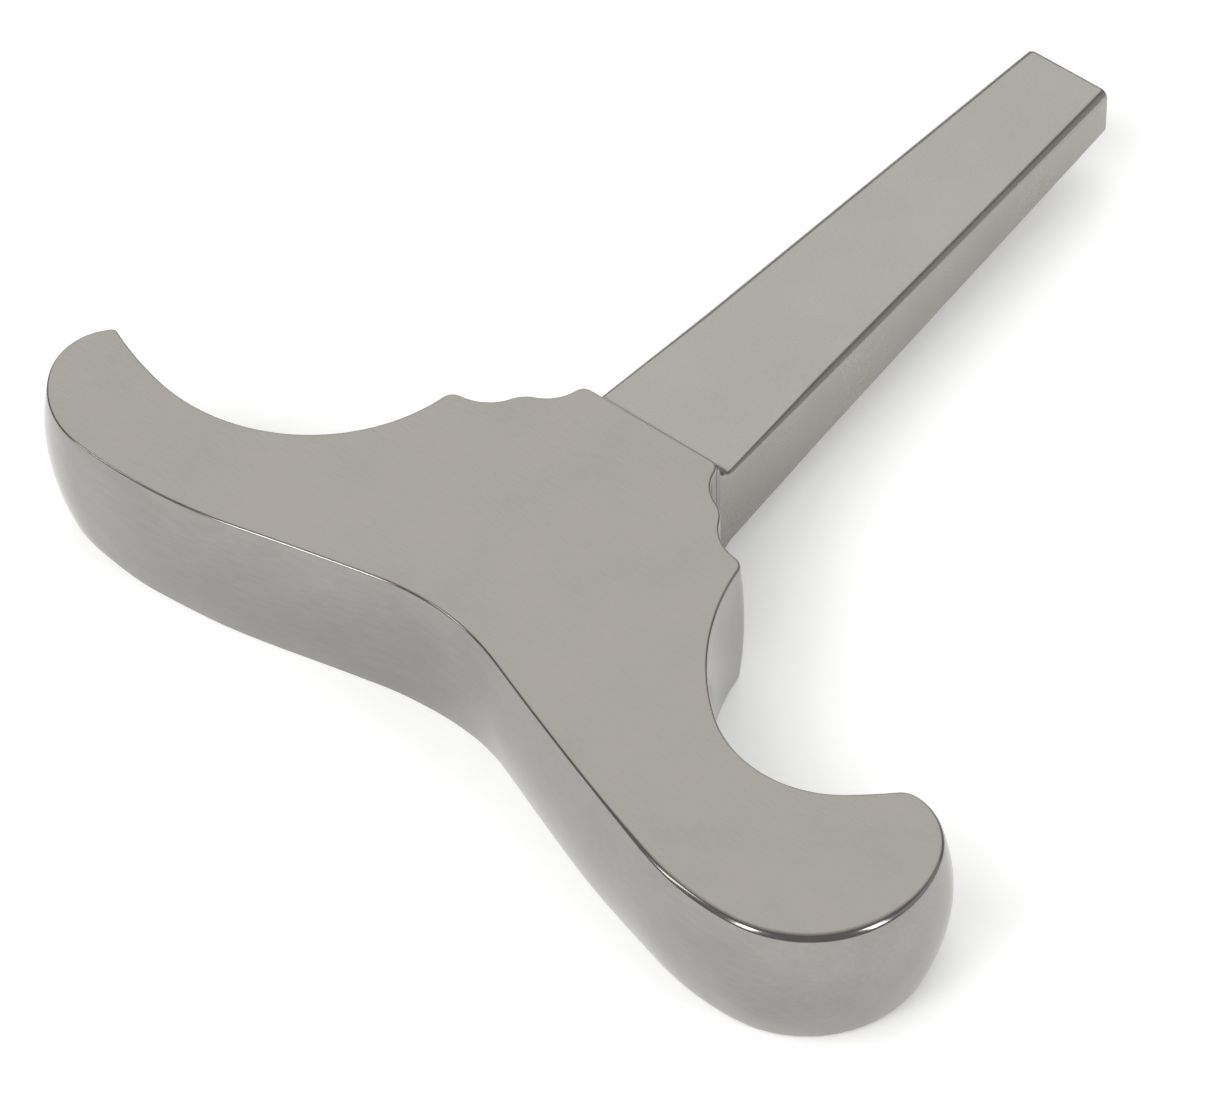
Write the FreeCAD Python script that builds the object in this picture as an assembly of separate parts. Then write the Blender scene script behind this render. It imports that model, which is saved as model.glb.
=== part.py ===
import FreeCAD, Part
import math
import os

# A T-shaped forming stake lying flat.  Units are millimetres and +Z is up.
# X runs along the width of the head and +Y runs out towards the end of the
# tang.  The model is drawn with the shoulder line on y = 0 and then moved so
# that the origin is the middle of the footprint, on the ground.

# ---- driving dimensions ------------------------------------------------
HEAD_T = 12.7            # thickness of the head, half an inch
MID_Z = HEAD_T / 2.0
HEAD_EDGE_R = 0.3        # rounding of the ground faces' edges
SHOULDER_Y = -0.07       # flat rear wall where the tang grows out
SHOULDER_HALF = 5.9      # half length of that flat
NECK_X = -0.15           # the scallops mirror about this line

TANG_END_Y = 53.6        # tip of the tang, measured from the shoulder line
TANG_HALF_W0 = 6.5       # half width at the shoulder line
TANG_HALF_W1 = 4.0       # half width at the tip
TANG_HALF_T0 = 4.05      # half thickness at the shoulder line
TANG_HALF_T1 = 2.4       # half thickness at the tip
TANG_EDGE_R = 0.8        # rounding of the four long edges
TANG_TIP_R = 0.45        # rounding around the tip face
ROOT_COVE_R = 2.0        # cove from the tang faces up to the head faces
ROOT_BITE = 0.45         # the tang bar is drawn this far in, then trimmed

# Arcs of the outline: (radius, turn in degrees), a positive turn bends to
# the left of the direction of travel.
FRONT_START = (-39.03, -17.98)
FRONT_HEADING = -143.2
FRONT_ARCS = (
    (2.53, 16.1),        # left tip
    (5.47, 62.55),       # outer end of the left wing
    (8.28, 58.75),       # left lobe
    (44.93, 19.7),       # long working curve of the left wing
    (389.0, -1.74),      # almost straight run into the saddle
    (20.54, -34.12),     # saddle
    (380.0, 3.25),       # almost straight run out of the saddle
    (23.05, 22.7),       # right lobe, flatter part
    (10.21, 110.6),      # right lobe, tight part
    (6.04, 55.7),        # outer end of the right wing
    (2.6, 28.4),         # right tip
)
# Scalloped neck, from the end of the shoulder flat outwards; the same arcs
# serve the right side mirrored.
NECK_ARCS = (
    (0.94, 78.5),        # shoulder corner
    (3.43, -55.1),       # first dip
    (2.77, 39.4),        # bump
    (4.02, -58.1),       # second dip
    (1.05, 75.9),        # peak
)
LEFT_COVE_ARCS = ((15.1, -92.4), (28.9, -13.1))
RIGHT_COVE_ARCS = ((15.0, -3.8), (20.7, -38.4), (9.8, -77.5), (38.0, -6.7))

# How far the side wall swells out at mid height (crowned working edge).
# Each pair is (share of the way along the curve, swell in mm).
FRONT_SWELL = ((0.0, 0.0), (0.06, 0.65), (0.15, 0.25), (0.27, 0.55),
               (0.5, 0.5), (0.7, 0.75), (0.85, 0.95), (0.96, 0.95),
               (1.0, 0.6))
LEFT_REAR_SWELL = ((0.0, 0.0), (0.12, 0.0), (0.3, 0.4), (0.85, 0.4),
                   (1.0, 0.0))
RIGHT_REAR_SWELL = ((0.0, 0.0), (0.12, 0.0), (0.3, 0.4), (0.85, 0.4),
                    (1.0, 0.6))
# How far the front wall is drawn in at its bottom edge, in the same form.
FRONT_UNDER = ((0.0, 0.0), (0.06, 1.1), (0.11, 1.2), (0.2, 0.6),
               (0.31, 0.1), (0.4, 0.05), (0.49, 0.62), (0.6, 0.42),
               (0.7, 0.76), (0.93, 0.74), (1.0, 0.0))
NO_UNDER = ((0.0, 0.0), (1.0, 0.0))
LEVELS = (0.0, 0.25, 0.5, 0.75, 1.0)


def smooth_between(table, share):
    """Value at `share` of a table of (share, value), eased between rows."""
    for (s0, v0), (s1, v1) in zip(table[:-1], table[1:]):
        if share <= s1:
            u = (share - s0) / (s1 - s0)
            ease = u * u * (3.0 - 2.0 * u)
            return v0 + (v1 - v0) * ease
    return table[-1][1]


def walk(start, heading, arcs, side=1.0):
    """Points along tangent arcs as (x, y, outward angle in radians).

    The outward direction is to the right of travel for side = 1 and the
    whole walk is mirrored left for right when side = -1.
    """
    x, y = start
    angle = math.radians(heading)
    points = [(x, y, angle - side * math.pi / 2.0)]
    for radius, turn in arcs:
        steps = max(3, int(abs(turn) / 9.0) + 1)
        if radius > 100.0:
            steps = 4
        bend = math.radians(turn) * side
        signed = radius if bend > 0.0 else -radius
        for _ in range(steps):
            after = angle + bend / steps
            x += signed * (math.sin(after) - math.sin(angle))
            y -= signed * (math.cos(after) - math.cos(angle))
            angle = after
            points.append((x, y, angle - side * math.pi / 2.0))
    return points


def swollen(points, swell, under, height):
    """Points moved by the crown and the undercut at `height` (0 to 1)."""
    lengths = [0.0]
    for (x0, y0, _), (x1, y1, _) in zip(points[:-1], points[1:]):
        lengths.append(lengths[-1] + math.hypot(x1 - x0, y1 - y0))
    crown = 1.0 - (2.0 * height - 1.0) ** 2
    moved = []
    for (x, y, out), run in zip(points, lengths):
        share = run / lengths[-1]
        d = smooth_between(swell, share) * crown
        d -= smooth_between(under, share) * (1.0 - height) ** 2
        z = height * HEAD_T
        moved.append(FreeCAD.Vector(x + d * math.cos(out),
                                    y + d * math.sin(out), z))
    return moved


def spline_edge(points):
    curve = Part.BSplineCurve()
    curve.interpolate(Points=points)
    return curve.toShape()


def head_section(height):
    """Closed outline of the head at one height of its thickness."""
    left = walk((NECK_X - SHOULDER_HALF, SHOULDER_Y), 180.0,
                NECK_ARCS + LEFT_COVE_ARCS)
    right = walk((NECK_X + SHOULDER_HALF, SHOULDER_Y), 0.0,
                 NECK_ARCS + RIGHT_COVE_ARCS, side=-1.0)
    front = walk(FRONT_START, FRONT_HEADING, FRONT_ARCS)
    left_pts = swollen(left, LEFT_REAR_SWELL, NO_UNDER, height)
    right_pts = swollen(right, RIGHT_REAR_SWELL, NO_UNDER, height)
    front_pts = swollen(front, FRONT_SWELL, FRONT_UNDER, height)
    edges = [
        spline_edge(left_pts),
        Part.makeLine(left_pts[-1], front_pts[0]),
        spline_edge(front_pts),
        Part.makeLine(front_pts[-1], right_pts[-1]),
        spline_edge(right_pts[::-1]),
        Part.makeLine(right_pts[0], left_pts[0]),
    ]
    return Part.Wire(edges)


def make_head():
    """Thick crowned plate: two wings, a saddle and a scalloped neck."""
    sections = [head_section(height) for height in LEVELS]
    return Part.makeLoft(sections, True, False)


def round_level_edges(shape, radius):
    """Round every edge that lies flat on the top or the bottom face."""
    flat = [edge for edge in shape.Edges
            if edge.BoundBox.ZMax - edge.BoundBox.ZMin < 0.01]
    return shape.makeFillet(radius, flat)


def half_width(y):
    return TANG_HALF_W0 + (TANG_HALF_W1 - TANG_HALF_W0) * y / TANG_END_Y


def half_thickness(y):
    return TANG_HALF_T0 + (TANG_HALF_T1 - TANG_HALF_T0) * y / TANG_END_Y


def tang_side_profile(start_y):
    """Face in the Y-Z plane: tapered bar with a cove at its root."""
    cove_y = SHOULDER_Y + ROOT_COVE_R
    cove_h = half_thickness(cove_y)
    wall_h = cove_h + ROOT_COVE_R
    bow = ROOT_COVE_R * (1.0 - math.sqrt(0.5))

    def at(y, up):
        return FreeCAD.Vector(0.0, y, MID_Z + up)

    edges = []
    for up in (1.0, -1.0):
        edges.append(Part.makeLine(at(start_y, up * wall_h),
                                   at(SHOULDER_Y, up * wall_h)))
        edges.append(Part.Arc(
            at(SHOULDER_Y, up * wall_h),
            at(SHOULDER_Y + bow, up * (cove_h + bow)),
            at(cove_y, up * cove_h)).toShape())
        edges.append(Part.makeLine(
            at(cove_y, up * cove_h),
            at(TANG_END_Y, up * half_thickness(TANG_END_Y))))
    tip = half_thickness(TANG_END_Y)
    edges.append(Part.makeLine(at(TANG_END_Y, tip), at(TANG_END_Y, -tip)))
    edges.append(Part.makeLine(at(start_y, wall_h), at(start_y, -wall_h)))
    return Part.Face(Part.Wire(Part.__sortEdges__(edges)))


def tang_plan(start_y):
    """Face in the X-Y plane: the tang's taper seen from above."""
    w0 = half_width(start_y)
    corners = [(-w0, start_y), (w0, start_y),
               (TANG_HALF_W1, TANG_END_Y), (-TANG_HALF_W1, TANG_END_Y)]
    ring = [FreeCAD.Vector(x, y, 0.0) for x, y in corners + corners[:1]]
    return Part.Face(Part.makePolygon(ring))


def make_tang(head):
    """Tapered rectangular tang, trimmed to sit against the head."""
    start_y = SHOULDER_Y - ROOT_BITE
    side = tang_side_profile(start_y)
    side.translate(FreeCAD.Vector(-20.0, 0.0, 0.0))
    slab = side.extrude(FreeCAD.Vector(40.0, 0.0, 0.0))
    plan = tang_plan(start_y).extrude(FreeCAD.Vector(0.0, 0.0, HEAD_T))
    bar = slab.common(plan)
    long_edges = []
    tip_edges = []
    for edge in bar.Edges:
        box = edge.BoundBox
        if box.YMin > TANG_END_Y - 0.01:
            tip_edges.append(edge)
        elif box.XMax - box.XMin < 4.0 and box.YMax - box.YMin > 1.0:
            long_edges.append(edge)
    bar = bar.makeFillet(TANG_EDGE_R, long_edges)
    tip_edges = [edge for edge in bar.Edges
                 if edge.BoundBox.YMin > TANG_END_Y - 0.01]
    bar = bar.makeFillet(TANG_TIP_R, tip_edges)
    return bar.cut(head)


def tight_box(shape):
    """Box that touches the shape, not its control points."""
    return shape.optimalBoundingBox(False, False)


def to_footprint_middle(shapes):
    """Move the parts together so the origin is under the middle."""
    boxes = [tight_box(shape) for shape in shapes]
    x = [b.XMin for b in boxes] + [b.XMax for b in boxes]
    y = [b.YMin for b in boxes] + [b.YMax for b in boxes]
    middle = FreeCAD.Vector(-(min(x) + max(x)) / 2.0,
                            -(min(y) + max(y)) / 2.0, 0.0)
    for shape in shapes:
        shape.translate(middle)
    return middle


if __name__ == "__main__":
    os.makedirs("parts", exist_ok=True)
    head = round_level_edges(make_head(), HEAD_EDGE_R)
    tang = make_tang(head)
    shift = to_footprint_middle([head, tang])
    for name, shape in (("forming_head", head), ("tapered_tang", tang)):
        shape = shape.Solids[0]
        box = tight_box(shape)
        print(name, shape.ShapeType, shape.isValid(), len(shape.Solids),
              round(shape.Volume, 1),
              [round(v, 3) for v in (box.XMin, box.YMin, box.ZMin,
                                     box.XMax, box.YMax, box.ZMax)])
        shape.exportStep("parts/" + name + ".step")
    print("shift", shift)
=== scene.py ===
"""A T-shaped metal forming stake lying flat on a pale bench.

The stake is one stainless steel casting: a thick head with two unlike wings,
a saddle between them and a scalloped neck, and a tapered tang.  The head's
two flat faces are ground, its side walls are polished and the tang is left
satin from blasting.  Lengths are millimetres until a mesh is written.
"""

import logging
import math
from dataclasses import dataclass
from enum import Enum
from typing import Any, Sequence

import bpy
import numpy as np
from mathutils import Matrix, Vector


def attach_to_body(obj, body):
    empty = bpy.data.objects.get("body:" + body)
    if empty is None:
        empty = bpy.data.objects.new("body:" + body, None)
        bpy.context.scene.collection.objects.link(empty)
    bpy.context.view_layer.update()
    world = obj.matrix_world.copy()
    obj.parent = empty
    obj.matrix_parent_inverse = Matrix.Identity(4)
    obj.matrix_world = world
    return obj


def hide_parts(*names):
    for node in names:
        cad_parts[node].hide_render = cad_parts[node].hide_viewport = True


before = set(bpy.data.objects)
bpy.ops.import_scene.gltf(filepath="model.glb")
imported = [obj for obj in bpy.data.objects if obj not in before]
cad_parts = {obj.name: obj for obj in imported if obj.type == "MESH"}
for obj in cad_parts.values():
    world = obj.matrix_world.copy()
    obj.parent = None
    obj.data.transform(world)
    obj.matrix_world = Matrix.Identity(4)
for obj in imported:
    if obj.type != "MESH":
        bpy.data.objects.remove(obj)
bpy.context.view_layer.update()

Table = tuple[tuple[float, float], ...]
LOG = logging.getLogger("stake")
MM = 0.001
# The outline is drawn with the shoulder on y = 0; this moves the middle of
# the footprint to the origin, where the CAD model has it.
FOOTPRINT_SHIFT = np.array([-1.9525, -9.0750, 0.0])


# ---------------------------------------------------------------- numbers


def linear_rgba(srgb_hex: str) -> tuple[float, float, float, float]:
    """Turns an sRGB hex colour into linear RGBA.

    Args:
        srgb_hex: Colour such as "A6A29B".

    Returns:
        Red, green, blue and an alpha of 1, all linear.
    """
    parts = [int(srgb_hex[i:i + 2], 16) / 255.0 for i in (0, 2, 4)]
    lin = [p / 12.92 if p <= 0.04045 else ((p + 0.055) / 1.055) ** 2.4
           for p in parts]
    return (lin[0], lin[1], lin[2], 1.0)


def eased(table: Table, share: np.ndarray) -> np.ndarray:
    """Reads a table of (share, value) rows with smooth steps between them.

    Each step follows u * u * (3 - 2 u), u being the way from row to row.

    Args:
        table: Rows sorted by share.
        share: Where to read it.

    Returns:
        One value for each share.
    """
    at, value = np.array(table).T
    row = np.clip(np.searchsorted(at, share, side="right") - 1, 0,
                  len(at) - 2)
    u = np.clip((share - at[row]) / (at[row + 1] - at[row]), 0.0, 1.0)
    return value[row] + (value[row + 1] - value[row]) * u * u * (3 - 2 * u)


@dataclass(frozen=True)
class Arc:
    """One tangent arc of an outline.

    Attributes:
        radius: Radius in millimetres.
        turn: Degrees turned, positive to the left of travel.
    """

    radius: float
    turn: float

    @property
    def length(self) -> float:
        """Length of the arc in millimetres."""
        return self.radius * math.radians(abs(self.turn))


@dataclass(frozen=True)
class Run:
    """A stretch of the head's outline, made of tangent arcs.

    Attributes:
        start: First point, x and y.
        heading: Direction of travel there, in degrees.
        arcs: The arcs in order.
        swell: Table of how far the wall bulges at mid height.
        under: Table of how far its bottom edge is drawn in.
        edge: Table of the rounding between wall and flat face.
        ease: Length over which the bend changes from arc to arc.
        side: 1, or -1 to mirror every turn.
    """

    start: tuple[float, float]
    heading: float
    arcs: tuple[Arc, ...]
    swell: Table
    under: Table
    edge: Table
    ease: float
    side: float = 1.0

    def trace(self, step: float = 0.05) -> np.ndarray:
        """Walks along the run.

        The heading is the running sum of each arc's bend and the place is
        the running sum of the heading's unit vector.  The places are then
        averaged over `ease`, so that the bend changes gently from arc to
        arc, with both ends left where they are.

        Args:
            step: Distance between points in millimetres.

        Returns:
            Rows of x, y, swell, undercut and edge rounding.
        """
        bend, ds = [], []
        for arc in self.arcs:
            count = max(2, round(arc.length / step))
            ds.append(np.full(count, arc.length / count))
            bend.append(np.full(count, self.side * math.copysign(
                1.0 / arc.radius, arc.turn)))
        ds, bend = np.concatenate(ds), np.concatenate(bend)
        heading = math.radians(self.heading) + np.cumsum(bend * ds)
        heading -= bend * ds / 2.0
        ahead = np.stack([np.cos(heading), np.sin(heading)], axis=1)
        place = np.cumsum(np.vstack([self.start, ahead * ds[:, None]]),
                          axis=0)
        width = max(1, round(self.ease / step))
        window = np.hanning(2 * width + 3)[1:-1]
        padded = np.pad(place, ((width, width), (0, 0)), mode="reflect",
                        reflect_type="odd")
        place = np.stack([np.convolve(column, window / window.sum(),
                                      mode="valid")
                          for column in padded.T], axis=1)
        share = np.concatenate([[0.0], np.cumsum(ds)]) / ds.sum()
        return np.column_stack([place, eased(self.swell, share),
                                eased(self.under, share),
                                eased(self.edge, share)])


def rounded_join(first: np.ndarray, second: np.ndarray, trim: float,
                 count: int = 14
                 ) -> tuple[np.ndarray, np.ndarray, np.ndarray]:
    """Joins two runs of points with a small rounded corner.

    The corner is the quadratic curve (1-t)^2 a + 2 t (1-t) c + t^2 b whose
    handle c is where the two end tangents meet.

    Args:
        first: Rows that end at the corner.
        second: Rows that start at the corner.
        trim: Length taken off each run.
        count: Points on the corner.

    Returns:
        The trimmed first run, the corner's rows and the trimmed second.
    """
    def cut(rows: np.ndarray) -> np.ndarray:
        """Takes the trim off the start of a run."""
        steps = np.hypot(*np.diff(rows[:, :2], axis=0).T)
        return rows[np.searchsorted(np.cumsum(steps), trim) + 1:]

    before, after = cut(first[::-1])[::-1], cut(second)
    a, b = before[-1, :2], after[0, :2]
    way_in, way_out = a - before[-2, :2], after[1, :2] - b
    along = np.linalg.solve(np.stack([way_in, -way_out], axis=1), b - a)
    handle = a + way_in * along[0]
    t = np.linspace(0.0, 1.0, count + 2)[1:-1, None]
    place = (1 - t) ** 2 * a + 2 * t * (1 - t) * handle + t ** 2 * b
    rest = (1 - t) * before[-1, 2:] + t * after[0, 2:]
    return before, np.concatenate([place, rest], axis=1), after


def evenly_spaced(loop: np.ndarray, spacing: float) -> np.ndarray:
    """Resamples a closed loop of rows at equal distances.

    Args:
        loop: Rows whose first two columns are x and y.
        spacing: Wanted distance between points.

    Returns:
        The new rows, the last one short of the first.
    """
    closed = np.concatenate([loop, loop[:1]])
    steps = np.hypot(*np.diff(closed[:, :2], axis=0).T)
    run = np.concatenate([[0.0], np.cumsum(steps)])
    count = int(run[-1] / spacing)
    at = np.arange(count) * run[-1] / count
    return np.stack([np.interp(at, run, column) for column in closed.T],
                    axis=1)


# ----------------------------------------------------------------- meshes


def grid_faces(rows: int, columns: int) -> np.ndarray:
    """Quads of a grid whose rows close into a ring.

    Args:
        rows: Stations round the ring.
        columns: Points across it.

    Returns:
        Corner numbers, four to a face, turning outwards when rows run
        anticlockwise and columns run downwards.
    """
    i = np.arange(rows)[:, None] * columns
    j = np.arange(columns - 1)[None, :]
    after = (np.arange(rows)[:, None] + 1) % rows * columns
    return np.stack([i + j, i + j + 1, after + j + 1, after + j],
                    axis=-1).reshape(-1, 4)


def write_mesh(name: str, points: np.ndarray, quads: np.ndarray,
               caps: Sequence[np.ndarray],
               flat_caps: bool = True) -> bpy.types.Object:
    """Makes a mesh object from millimetre points, quads and end caps.

    Args:
        name: Name of the object.
        points: Rows of x, y, z in the drawing's frame.
        quads: Rows of four corner numbers.
        caps: Many-sided faces that close the ends.
        flat_caps: Whether the caps are shaded flat.

    Returns:
        The new object, linked to the scene.
    """
    mesh = bpy.data.meshes.new(name)
    faces = quads.tolist() + [list(map(int, cap)) for cap in caps]
    placed = (points + FOOTPRINT_SHIFT) * MM
    mesh.from_pydata(placed.tolist(), [], faces)
    smooth = np.ones(len(faces), dtype=bool)
    if flat_caps:
        smooth[len(quads):] = False
    mesh.polygons.foreach_set("use_smooth", smooth)
    mesh.update()
    mesh.validate()
    obj = bpy.data.objects.new(name, mesh)
    bpy.context.scene.collection.objects.link(obj)
    return obj


# -------------------------------------------------------------- materials


def add(tree: bpy.types.NodeTree, kind: str,
        links: dict[Any, bpy.types.NodeSocket] | None = None,
        values: dict[Any, Any] | None = None,
        **settings: Any) -> bpy.types.Node:
    """Adds one node with its settings, socket values and links.

    Args:
        tree: Node tree that gets the node.
        kind: Node type, such as "ShaderNodeBump".
        links: Input name or number to the socket that feeds it.
        values: Input name or number to its value.
        **settings: Attributes of the node itself.

    Returns:
        The new node.
    """
    node = tree.nodes.new(kind)
    for key, value in settings.items():
        setattr(node, key, value)
    for key, value in (values or {}).items():
        node.inputs[key].default_value = value
    for key, socket in (links or {}).items():
        tree.links.new(socket, node.inputs[key])
    return node


def new_material(name: str) -> tuple[bpy.types.Material,
                                     bpy.types.NodeTree]:
    """Makes an empty node material and returns it with its tree."""
    material = bpy.data.materials.new(name)
    material.use_nodes = True
    material.node_tree.nodes.clear()
    return material, material.node_tree


def ramp(tree: bpy.types.NodeTree, source: bpy.types.NodeSocket,
         stops: Sequence[tuple[float, str]]) -> bpy.types.NodeSocket:
    """Adds a colour ramp over hex colours and returns its output."""
    node = add(tree, "ShaderNodeValToRGB", {0: source})
    elements = node.color_ramp.elements
    while len(elements) < len(stops):
        elements.new(0.5)
    for element, (place, colour) in zip(elements, stops):
        element.position = place
        element.color = linear_rgba(colour)
    return node.outputs[0]


# Stretch of the noise, which stays near its middle, that spans the two hex
# colours of a finish, and the stretch that spans its roughness.
TONE_BAND = (0.36, 0.64)
ROUGH_BAND = (0.35, 0.65)


class Lay(Enum):
    """Which way the fine marks of a finish run, as pattern stretch."""

    ALONG_X = (0.10, 1.0, 1.0)
    NONE = (1.0, 1.0, 1.0)


@dataclass(frozen=True)
class SteelFinish:
    """A surface finish on cast stainless steel.

    Attributes:
        name: Material name.
        dark: Hex colour of the darker patches.
        light: Hex colour of the lighter patches.
        roughness: Lowest and highest roughness over the patches.
        lay: Direction of the fine marks.
        grain_mm: Width of one fine mark.
        grain_depth: Height given to the marks, in millimetres.
        patch_mm: Size of the soft patches of tone.
    """

    name: str
    dark: str
    light: str
    roughness: tuple[float, float]
    lay: Lay
    grain_mm: float
    grain_depth: float
    patch_mm: float

    def build(self) -> bpy.types.Material:
        """Makes the node material of this finish.

        Patches of tone come from a broad noise, the marks from a narrow
        noise stretched along the lay, and the marks alone tilt the surface a
        little.

        Returns:
            The material.
        """
        material, tree = new_material(self.name)
        place = add(tree, "ShaderNodeTexCoord").outputs["Object"]
        patches = add(tree, "ShaderNodeTexNoise", {"Vector": place},
                      {"Scale": 1.0 / (self.patch_mm * MM), "Detail": 3.0,
                       "Roughness": 0.55})
        lay = add(tree, "ShaderNodeMapping", {"Vector": place},
                  {"Scale": self.lay.value})
        marks = add(tree, "ShaderNodeTexNoise",
                    {"Vector": lay.outputs[0]},
                    {"Scale": 1.0 / (self.grain_mm * MM), "Detail": 4.0,
                     "Roughness": 0.7})
        both = add(tree, "ShaderNodeMath", {0: patches.outputs[0],
                                            1: marks.outputs[0]},
                   operation="ADD")
        half = add(tree, "ShaderNodeMath", {0: both.outputs[0]}, {1: 0.5},
                   operation="MULTIPLY")
        colour = ramp(tree, half.outputs[0],
                      tuple(zip(TONE_BAND, (self.dark, self.light))))
        rough = add(tree, "ShaderNodeMapRange", {0: half.outputs[0]},
                    {1: ROUGH_BAND[0], 2: ROUGH_BAND[1],
                     3: self.roughness[0], 4: self.roughness[1]})
        bump = add(tree, "ShaderNodeBump", {"Height": marks.outputs[0]},
                   {"Strength": 1.0, "Distance": self.grain_depth * MM})
        shader = add(tree, "ShaderNodeBsdfPrincipled",
                     {"Base Color": colour, "Roughness": rough.outputs[0],
                      "Normal": bump.outputs[0]}, {"Metallic": 1.0})
        add(tree, "ShaderNodeOutputMaterial",
            {"Surface": shader.outputs[0]})
        return material


# Stainless steel, surface ground on a flat wheel: fine straight marks along
# the width of the head break reflections into an even warm grey.
GROUND_FACE = SteelFinish("ground_stainless_face", "98948F", "A6A29C",
                          (0.40, 0.48), Lay.ALONG_X, 0.12, 0.002, 6.0)
# Stainless steel, belt and mop polished: clear but slightly blurred
# reflections with a faint trace of the belt.
POLISHED_WALL = SteelFinish("polished_stainless_wall", "8D8B88", "969491",
                            (0.12, 0.18), Lay.ALONG_X, 0.35, 0.0006, 5.0)
# Stainless steel casting, finely blasted: an even satin sheen.
BLASTED_TANG = SteelFinish("blasted_stainless_tang", "918F8A", "999792",
                           (0.23, 0.29), Lay.NONE, 0.22, 0.001, 7.0)


# ----------------------------------------------------------- the two parts


@dataclass
class FormingHead:
    """The thick head of the stake.

    Attributes:
        thickness: Height of the side wall.
        shoulder_y: Flat rear wall where the tang grows out.
        shoulder_half: Half length of that flat.
        neck_x: The scallops mirror about this line.
        spacing: Distance between points of the outline.
        round_steps: Strips across each rounded edge.
        wall_steps: Strips down the wall.
        ground_steps: Strips of each rounded edge that keep the ground
            finish of the flat face.
        flat_points: Points along the rear flat before resampling.
        front_start: Left tip, where the working edge begins.
        front_heading: Direction of travel there, in degrees.
        front_ease: Length over which the front's bend changes.
        rear_ease: The same for the rear.
        left_trim: Length taken off each side of the left tip's corner.
        right_trim: The same for the right tip.
        neck: Arcs of the scalloped neck, from the shoulder outwards.
        left_cove: Arcs of the hollow behind the left wing.
        right_cove: Arcs of the hollow behind the right wing.
        front: Arcs of the working edge from the left tip to the right.
        front_swell: Bulge of the front wall at mid height.
        front_under: How far its bottom edge is drawn in.
        front_edge: Rounding between front wall and flat face.
        left_swell: Bulge of the rear wall on the left.
        right_swell: Bulge of the rear wall on the right.
        rear_under: How far the rear wall's bottom edge is drawn in.
        rear_edge: Rounding between rear wall and flat face.

    The arcs, the front's swell and its undercut are values from a
    least-squares fit, rounded or thinned, and not chosen sizes.
    """

    thickness: float = 12.7
    shoulder_y: float = -0.07
    shoulder_half: float = 5.9
    neck_x: float = -0.15
    spacing: float = 0.2
    round_steps: int = 10
    wall_steps: int = 14
    ground_steps: int = 3
    flat_points: int = 60
    front_start: tuple[float, float] = (-39.03, -17.98)
    front_heading: float = -143.2
    front_ease: float = 2.0
    rear_ease: float = 0.35
    left_trim: float = 0.15
    right_trim: float = 0.6
    neck: tuple[Arc, ...] = (
        Arc(0.94, 78.5), Arc(3.43, -55.1), Arc(2.77, 39.4),
        Arc(4.02, -58.1), Arc(1.05, 75.9))
    left_cove: tuple[Arc, ...] = (Arc(15.1, -92.4), Arc(28.9, -13.1))
    right_cove: tuple[Arc, ...] = (
        Arc(15.0, -3.8), Arc(20.7, -38.4), Arc(9.8, -77.5),
        Arc(38.0, -6.7))
    front: tuple[Arc, ...] = (
        Arc(2.53, 16.1), Arc(5.47, 62.55), Arc(8.28, 58.75),
        Arc(44.93, 19.7), Arc(389.0, -1.74), Arc(20.54, -34.12),
        Arc(380.0, 3.25), Arc(23.05, 22.7), Arc(10.21, 110.6),
        Arc(6.04, 55.7), Arc(2.6, 28.4))
    front_swell: Table = (
        (0.0, 0.0), (0.06, 0.65), (0.15, 0.25), (0.27, 0.55), (0.5, 0.5),
        (0.7, 0.75), (0.85, 0.95), (0.96, 0.95), (1.0, 0.6))
    front_under: Table = (
        (0.0, 0.0), (0.06, 1.1), (0.11, 1.2), (0.2, 0.6), (0.31, 0.1),
        (0.4, 0.05), (0.49, 0.62), (0.6, 0.42), (0.7, 0.76), (0.93, 0.74),
        (1.0, 0.0))
    front_edge: Table = (
        (0.0, 0.15), (0.1, 0.18), (0.3, 0.2), (0.6, 0.22), (0.74, 0.5),
        (0.86, 0.55), (0.94, 0.3), (1.0, 0.25))
    left_swell: Table = (
        (0.0, 0.0), (0.12, 0.0), (0.3, 0.4), (0.85, 0.4), (1.0, 0.0))
    right_swell: Table = (
        (0.0, 0.0), (0.12, 0.0), (0.3, 0.4), (0.85, 0.4), (1.0, 0.6))
    rear_under: Table = ((0.0, 0.0), (1.0, 0.0))
    rear_edge: Table = ((0.0, 0.25), (1.0, 0.25))

    def outline(self) -> np.ndarray:
        """Draws the whole outline once round, anticlockwise from above.

        Returns:
            Rows of x, y, swell, undercut and edge rounding.
        """
        front = Run(self.front_start, self.front_heading, self.front,
                    self.front_swell, self.front_under, self.front_edge,
                    self.front_ease).trace()
        left = Run((self.neck_x - self.shoulder_half, self.shoulder_y),
                   180.0, self.neck + self.left_cove, self.left_swell,
                   self.rear_under, self.rear_edge, self.rear_ease).trace()
        right = Run((self.neck_x + self.shoulder_half, self.shoulder_y),
                    0.0, self.neck + self.right_cove, self.right_swell,
                    self.rear_under, self.rear_edge, self.rear_ease,
                    side=-1.0).trace()
        flat = np.linspace(right[0], left[0], self.flat_points)[1:-1]
        rear = np.concatenate([right[::-1], flat, left])
        front, right_tip, rear = rounded_join(front, rear, self.right_trim)
        rear, left_tip, front = rounded_join(rear, front, self.left_trim)
        loop = np.concatenate([front, right_tip, rear, left_tip])
        return evenly_spaced(loop, self.spacing)

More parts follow.
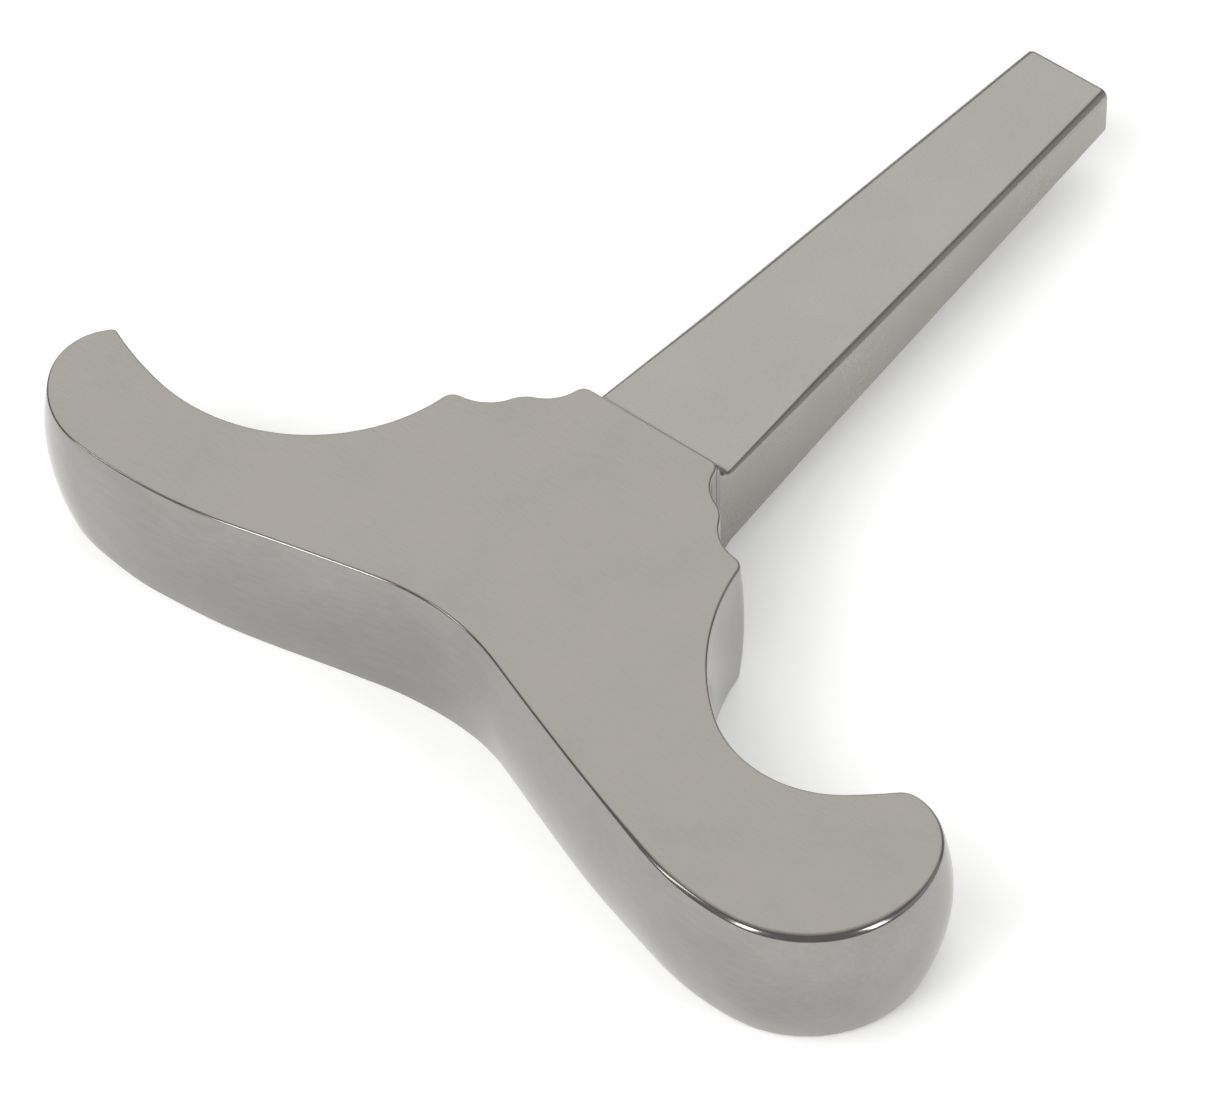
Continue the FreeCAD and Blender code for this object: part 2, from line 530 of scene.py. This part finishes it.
    def build(self) -> bpy.types.Object:
        """Carries the wall's profile round the outline and closes it.

        At height z from the middle the wall stands out by
        swell * (1 - (z/h)^2) less under * ((h - z) / 2h)^2, and less
        r * (1 - sqrt(1 - q^2)) where q is how far z has gone into the edge
        rounding r, so face, rounding and crowned wall run together.

        Returns:
            The head's object.
        """
        rows = self.outline()
        x, y, swell, under, edge = rows.T
        ahead, behind = np.roll(rows, -1, 0), np.roll(rows, 1, 0)
        tangent = (ahead - behind)[:, :2]
        tangent /= np.hypot(*tangent.T)[:, None]
        half = self.thickness / 2.0
        angle = np.linspace(math.pi / 2, 0.0, self.round_steps + 1)
        lift = np.concatenate([np.sin(angle), np.zeros(self.wall_steps - 1),
                               -np.sin(angle[::-1])])
        inset = np.concatenate([1 - np.cos(angle),
                                np.zeros(self.wall_steps - 1),
                                1 - np.cos(angle[::-1])])
        down = np.concatenate([np.ones(self.round_steps + 1),
                               np.linspace(1, -1, self.wall_steps + 1)[1:-1],
                               -np.ones(self.round_steps + 1)])
        z = down * (half - edge[:, None]) + edge[:, None] * lift
        out = (swell[:, None] * (1 - (z / half) ** 2)
               - under[:, None] * ((half - z) / self.thickness) ** 2
               - edge[:, None] * inset)
        px = x[:, None] + tangent[:, 1:2] * out
        py = y[:, None] - tangent[:, 0:1] * out
        points = np.stack([px, py, z + half], axis=-1)
        count, across = z.shape
        ring = np.arange(count) * across
        caps = [ring, (ring + across - 1)[::-1]]
        obj = write_mesh("head_casting", points.reshape(-1, 3),
                         grid_faces(count, across), caps)
        obj.data.materials.append(POLISHED_WALL.build())
        obj.data.materials.append(GROUND_FACE.build())
        # The ground finish carries a little way over the rounded edges.
        strip = np.zeros((count, across - 1), dtype=np.int32)
        strip[:, :self.ground_steps] = 1
        strip[:, -self.ground_steps:] = 1
        index = np.append(strip.ravel(), [1, 1]).astype(np.int32)
        obj.data.polygons.foreach_set("material_index", index)
        return obj


@dataclass
class TaperedTang:
    """The rectangular tang that goes into a stake holder.

    Attributes:
        end_y: Tip of the tang, measured from the shoulder line.
        half_width: Half widths at the shoulder line and at the tip.
        half_thick: Half thicknesses there.
        mid_z: Height of the bar's middle above the ground.
        shoulder_y: Where the head's rear flat lies.
        edge: Rounding of the four long edges.
        root_edge: Rounding they narrow to at the shoulder.
        root_run: Length over which they narrow.
        tip_edge: Rounding round the tip face.
        dome: How far the tip face bulges.
        cove: Radius of the hollow curve at the root.
        bite: How far the bar starts inside the head.
        corner_steps: Strips across each long edge's rounding.
        cove_steps: Sections along the cove.
        taper_points: Sections along the straight taper.
        tip_steps: Sections across the tip's rounding.
        cap_rings: Rings that close the domed tip face.
    """

    end_y: float = 53.6
    half_width: tuple[float, float] = (6.5, 4.0)
    half_thick: tuple[float, float] = (4.05, 2.4)
    mid_z: float = 6.35
    shoulder_y: float = -0.07
    edge: float = 0.8
    root_edge: float = 0.35
    root_run: float = 14.0
    tip_edge: float = 0.45
    dome: float = 0.12
    cove: float = 2.0
    bite: float = 0.45
    corner_steps: int = 10
    cove_steps: int = 12
    taper_points: int = 40
    tip_steps: int = 6
    cap_rings: int = 5

    def stations(self) -> np.ndarray:
        """Lists the cross-sections from root to tip.

        The root climbs a quarter circle from the tang's face to the head's
        face; the tip shrinks by a quarter circle and then closes in a
        shallow dome.

        Returns:
            Rows of y, half width, half thickness and corner rounding.
        """
        def taper(y: np.ndarray, ends: tuple[float, float]) -> np.ndarray:
            """Straight taper between the two end values."""
            return ends[0] + (ends[1] - ends[0]) * y / self.end_y

        brim_y = self.end_y - self.dome
        turn = np.linspace(0.0, math.pi / 2, self.cove_steps + 1)
        cove_y = self.shoulder_y + self.cove * (1 - np.cos(turn))
        cove_up = self.cove * (1 - np.sin(turn))
        cove_end = self.shoulder_y + self.cove
        straight = np.linspace(cove_end, brim_y - self.tip_edge,
                               self.taper_points)
        y = np.concatenate([[self.shoulder_y - self.bite], cove_y,
                            straight[1:]])
        width = taper(y, self.half_width)
        base = taper(np.maximum(y, cove_end), self.half_thick)
        thick = base + np.concatenate([[self.cove], cove_up,
                                       np.zeros(len(straight) - 1)])
        near = np.clip(1.0 - y / self.root_run, 0.0, 1.0)
        edge = self.edge + (self.root_edge - self.edge) * near
        fold = np.linspace(0.0, math.pi / 2, self.tip_steps + 1)[1:]
        tip_y = brim_y - self.tip_edge * (1 - np.sin(fold))
        shrink = self.tip_edge * (1 - np.cos(fold))
        tip = np.stack([tip_y, width[-1] - shrink, thick[-1] - shrink,
                        np.full_like(fold, self.edge) - shrink], axis=1)
        body = np.stack([y, width, thick, edge], axis=1)
        share = np.linspace(0.0, 1.0, self.cap_rings + 1)[1:, None]
        last = tip[-1]
        cap = last * (1 - share)
        cap[:, :1] = last[0] + self.dome * (1 - (1 - share) ** 2)
        cap = cap[:-1]
        return np.concatenate([body, tip, cap])

    def build(self) -> bpy.types.Object:
        """Strings rounded rectangles along the stations.

        A section's corner is the quarter circle c + r (cos a, sin a) about
        its own centre, and straight sides join the corners.

        Returns:
            The tang's object.
        """
        y, width, thick, edge = self.stations().T
        angle = np.linspace(0.0, math.pi / 2, self.corner_steps + 1)
        turn = np.concatenate([angle + k * math.pi / 2 for k in range(4)])
        quarter = np.repeat(np.arange(4), len(angle))
        sx = np.array([1, -1, -1, 1])[quarter]
        sz = np.array([1, 1, -1, -1])[quarter]
        px = sx * (width - edge)[:, None] + edge[:, None] * np.cos(turn)
        pz = sz * (thick - edge)[:, None] + edge[:, None] * np.sin(turn)
        py = np.broadcast_to(y[:, None], px.shape)
        points = np.stack([px, py, pz + self.mid_z], axis=-1)
        grid = points.transpose(1, 0, 2)
        around, along = grid.shape[:2]
        ring = np.arange(around) * along
        quads = grid_faces(around, along)[:, ::-1]
        caps = [ring[::-1], ring + along - 1]
        obj = write_mesh("tang_casting", grid.reshape(-1, 3), quads, caps,
                         flat_caps=False)
        obj.data.materials.append(BLASTED_TANG.build())
        return obj


# -------------------------------------------------------------- the scene


@dataclass(frozen=True)
class Softbox:
    """A rectangular light that faces the stake.

    Attributes:
        name: Name of the light.
        azimuth: Its way round the stake, in degrees from the front.
        elevation: Its height above the horizon, in degrees.
        distance: Metres from the stake.
        size: Width and height in metres.
        power: Watts.
        mirrored: Whether polished metal shows the light itself.
    """

    name: str
    azimuth: float
    elevation: float
    distance: float
    size: tuple[float, float]
    power: float
    mirrored: bool = True

    def hang(self) -> None:
        """Puts the light in the scene."""
        a, e = math.radians(self.azimuth), math.radians(self.elevation)
        way = Vector((math.sin(a) * math.cos(e),
                      -math.cos(a) * math.cos(e), math.sin(e)))
        data = bpy.data.lights.new(self.name, "AREA")
        data.shape = "RECTANGLE"
        data.size, data.size_y = self.size
        data.energy = self.power
        light = bpy.data.objects.new(self.name, data)
        light.visible_glossy = self.mirrored
        light.matrix_world = (Matrix.Translation(way * self.distance)
                              @ way.to_track_quat("Z", "Y")
                              .to_matrix().to_4x4())
        bpy.context.scene.collection.objects.link(light)


@dataclass
class Studio:
    """Pale bench, soft lights and the camera.

    Attributes:
        aim: Point on the camera's axis, in millimetres.
        azimuth: Camera's way round the stake, in degrees.
        elevation: Camera's height above the horizon, in degrees.
        roll: Camera's tilt about its axis, in degrees.
        distance: From the aim to the camera, in millimetres.
        lens: Focal length for the sensor width below.
        sensor: Sensor width.
        room: Strength of the even light of the room.
        glow: Strength of the light that the bench top itself gives.
        reach: Half the side of the bench top, in metres.
        boxes: The lights. The three strips are narrow so that they draw
            short glints on the rounded edges; the two that are not
            mirrored only light the bench.
    """

    aim: tuple[float, float, float] = (-0.425, -16.750, 6.35)
    azimuth: float = 38.875
    elevation: float = 48.593
    roll: float = -0.443
    distance: float = 702.95
    lens: float = 272.49
    sensor: float = 36.0
    room: float = 0.32
    glow: float = 0.2
    reach: float = 3.0
    boxes: tuple[Softbox, ...] = (
        Softbox("back_panel", 219.0, 50.0, 1.5, (1.7, 1.4), 8.6),
        Softbox("left_key", -14.0, 40.0, 1.3, (1.7, 1.4), 16.0, False),
        Softbox("left_strip", -6.5, 35.0, 1.2, (0.24, 0.6), 2.4),
        Softbox("right_strip", 89.0, 35.0, 1.2, (0.24, 0.6), 2.2),
        Softbox("right_panel", 158.0, 35.0, 1.5, (1.0, 1.0), 2.4, False),
        Softbox("right_glow", 128.0, 22.0, 1.5, (1.3, 0.9), 1.1),
        Softbox("left_edge_strip", -42.0, 35.0, 1.2, (0.1, 0.6), 0.8),
    )

    def camera(self) -> None:
        """Places the camera on its sphere round the aim and rolls it."""
        a, e, r = (math.radians(v) for v in
                   (self.azimuth, self.elevation, self.roll))
        back = Vector((math.sin(a) * math.cos(e),
                       -math.cos(a) * math.cos(e), math.sin(e)))
        right = Vector((math.cos(a), math.sin(a), 0.0))
        up = back.cross(right)
        level = right * math.cos(r) + up * math.sin(r)
        upright = up * math.cos(r) - right * math.sin(r)
        data = bpy.data.cameras.new("camera")
        data.lens, data.sensor_width = self.lens, self.sensor
        data.sensor_fit = "HORIZONTAL"
        data.clip_start, data.clip_end = 0.01, 20.0
        camera = bpy.data.objects.new("camera", data)
        place = (Vector(self.aim) + back * self.distance) * MM
        turn = Matrix((level, upright, back)).transposed().to_4x4()
        camera.matrix_world = Matrix.Translation(place) @ turn
        bpy.context.scene.collection.objects.link(camera)
        bpy.context.scene.camera = camera

    def floor(self) -> None:
        """Lays a plain pale bench top that glows faintly."""
        reach = self.reach
        mesh = bpy.data.meshes.new("bench_top")
        corners = [(-reach, -reach, 0), (reach, -reach, 0),
                   (reach, reach, 0), (-reach, reach, 0)]
        mesh.from_pydata(corners, [], [(0, 1, 2, 3)])
        bench = bpy.data.objects.new("bench_top", mesh)
        bpy.context.scene.collection.objects.link(bench)
        material, tree = new_material("opal_acrylic_board")
        shader = add(tree, "ShaderNodeBsdfPrincipled", values={
            "Base Color": linear_rgba("F4F4F3"), "Roughness": 0.9,
            "Specular IOR Level": 0.2,
            "Emission Color": (1.0, 1.0, 1.0, 1.0),
            "Emission Strength": self.glow})
        add(tree, "ShaderNodeOutputMaterial",
            {"Surface": shader.outputs[0]})
        mesh.materials.append(material)

    def build(self) -> None:
        """Sets up the room light, the softboxes, bench and camera."""
        scene = bpy.context.scene
        world = bpy.data.worlds.new("soft_room")
        world.use_nodes = True
        tree = world.node_tree
        tree.nodes.clear()
        glow = add(tree, "ShaderNodeBackground",
                   values={"Color": (1.0, 1.0, 1.0, 1.0),
                           "Strength": self.room})
        add(tree, "ShaderNodeOutputWorld", {"Surface": glow.outputs[0]})
        scene.world = world
        scene.view_settings.view_transform = "Standard"
        for box in self.boxes:
            box.hang()
        self.floor()
        self.camera()


def attach(obj: bpy.types.Object, node: str) -> None:
    """Rides a piece on the stake's body in place of its CAD solid."""
    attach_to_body(obj, "root")
    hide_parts(node)
    LOG.info("%s: %d faces, stands for %s", obj.name,
             len(obj.data.polygons), node)


def main() -> None:
    """Builds the stake and its studio."""
    logging.basicConfig(level=logging.INFO, format="%(name)s %(message)s")
    attach(FormingHead().build(), "forming_head")
    attach(TaperedTang().build(), "tapered_tang")
    Studio().build()


if __name__ == "__main__":
    main()
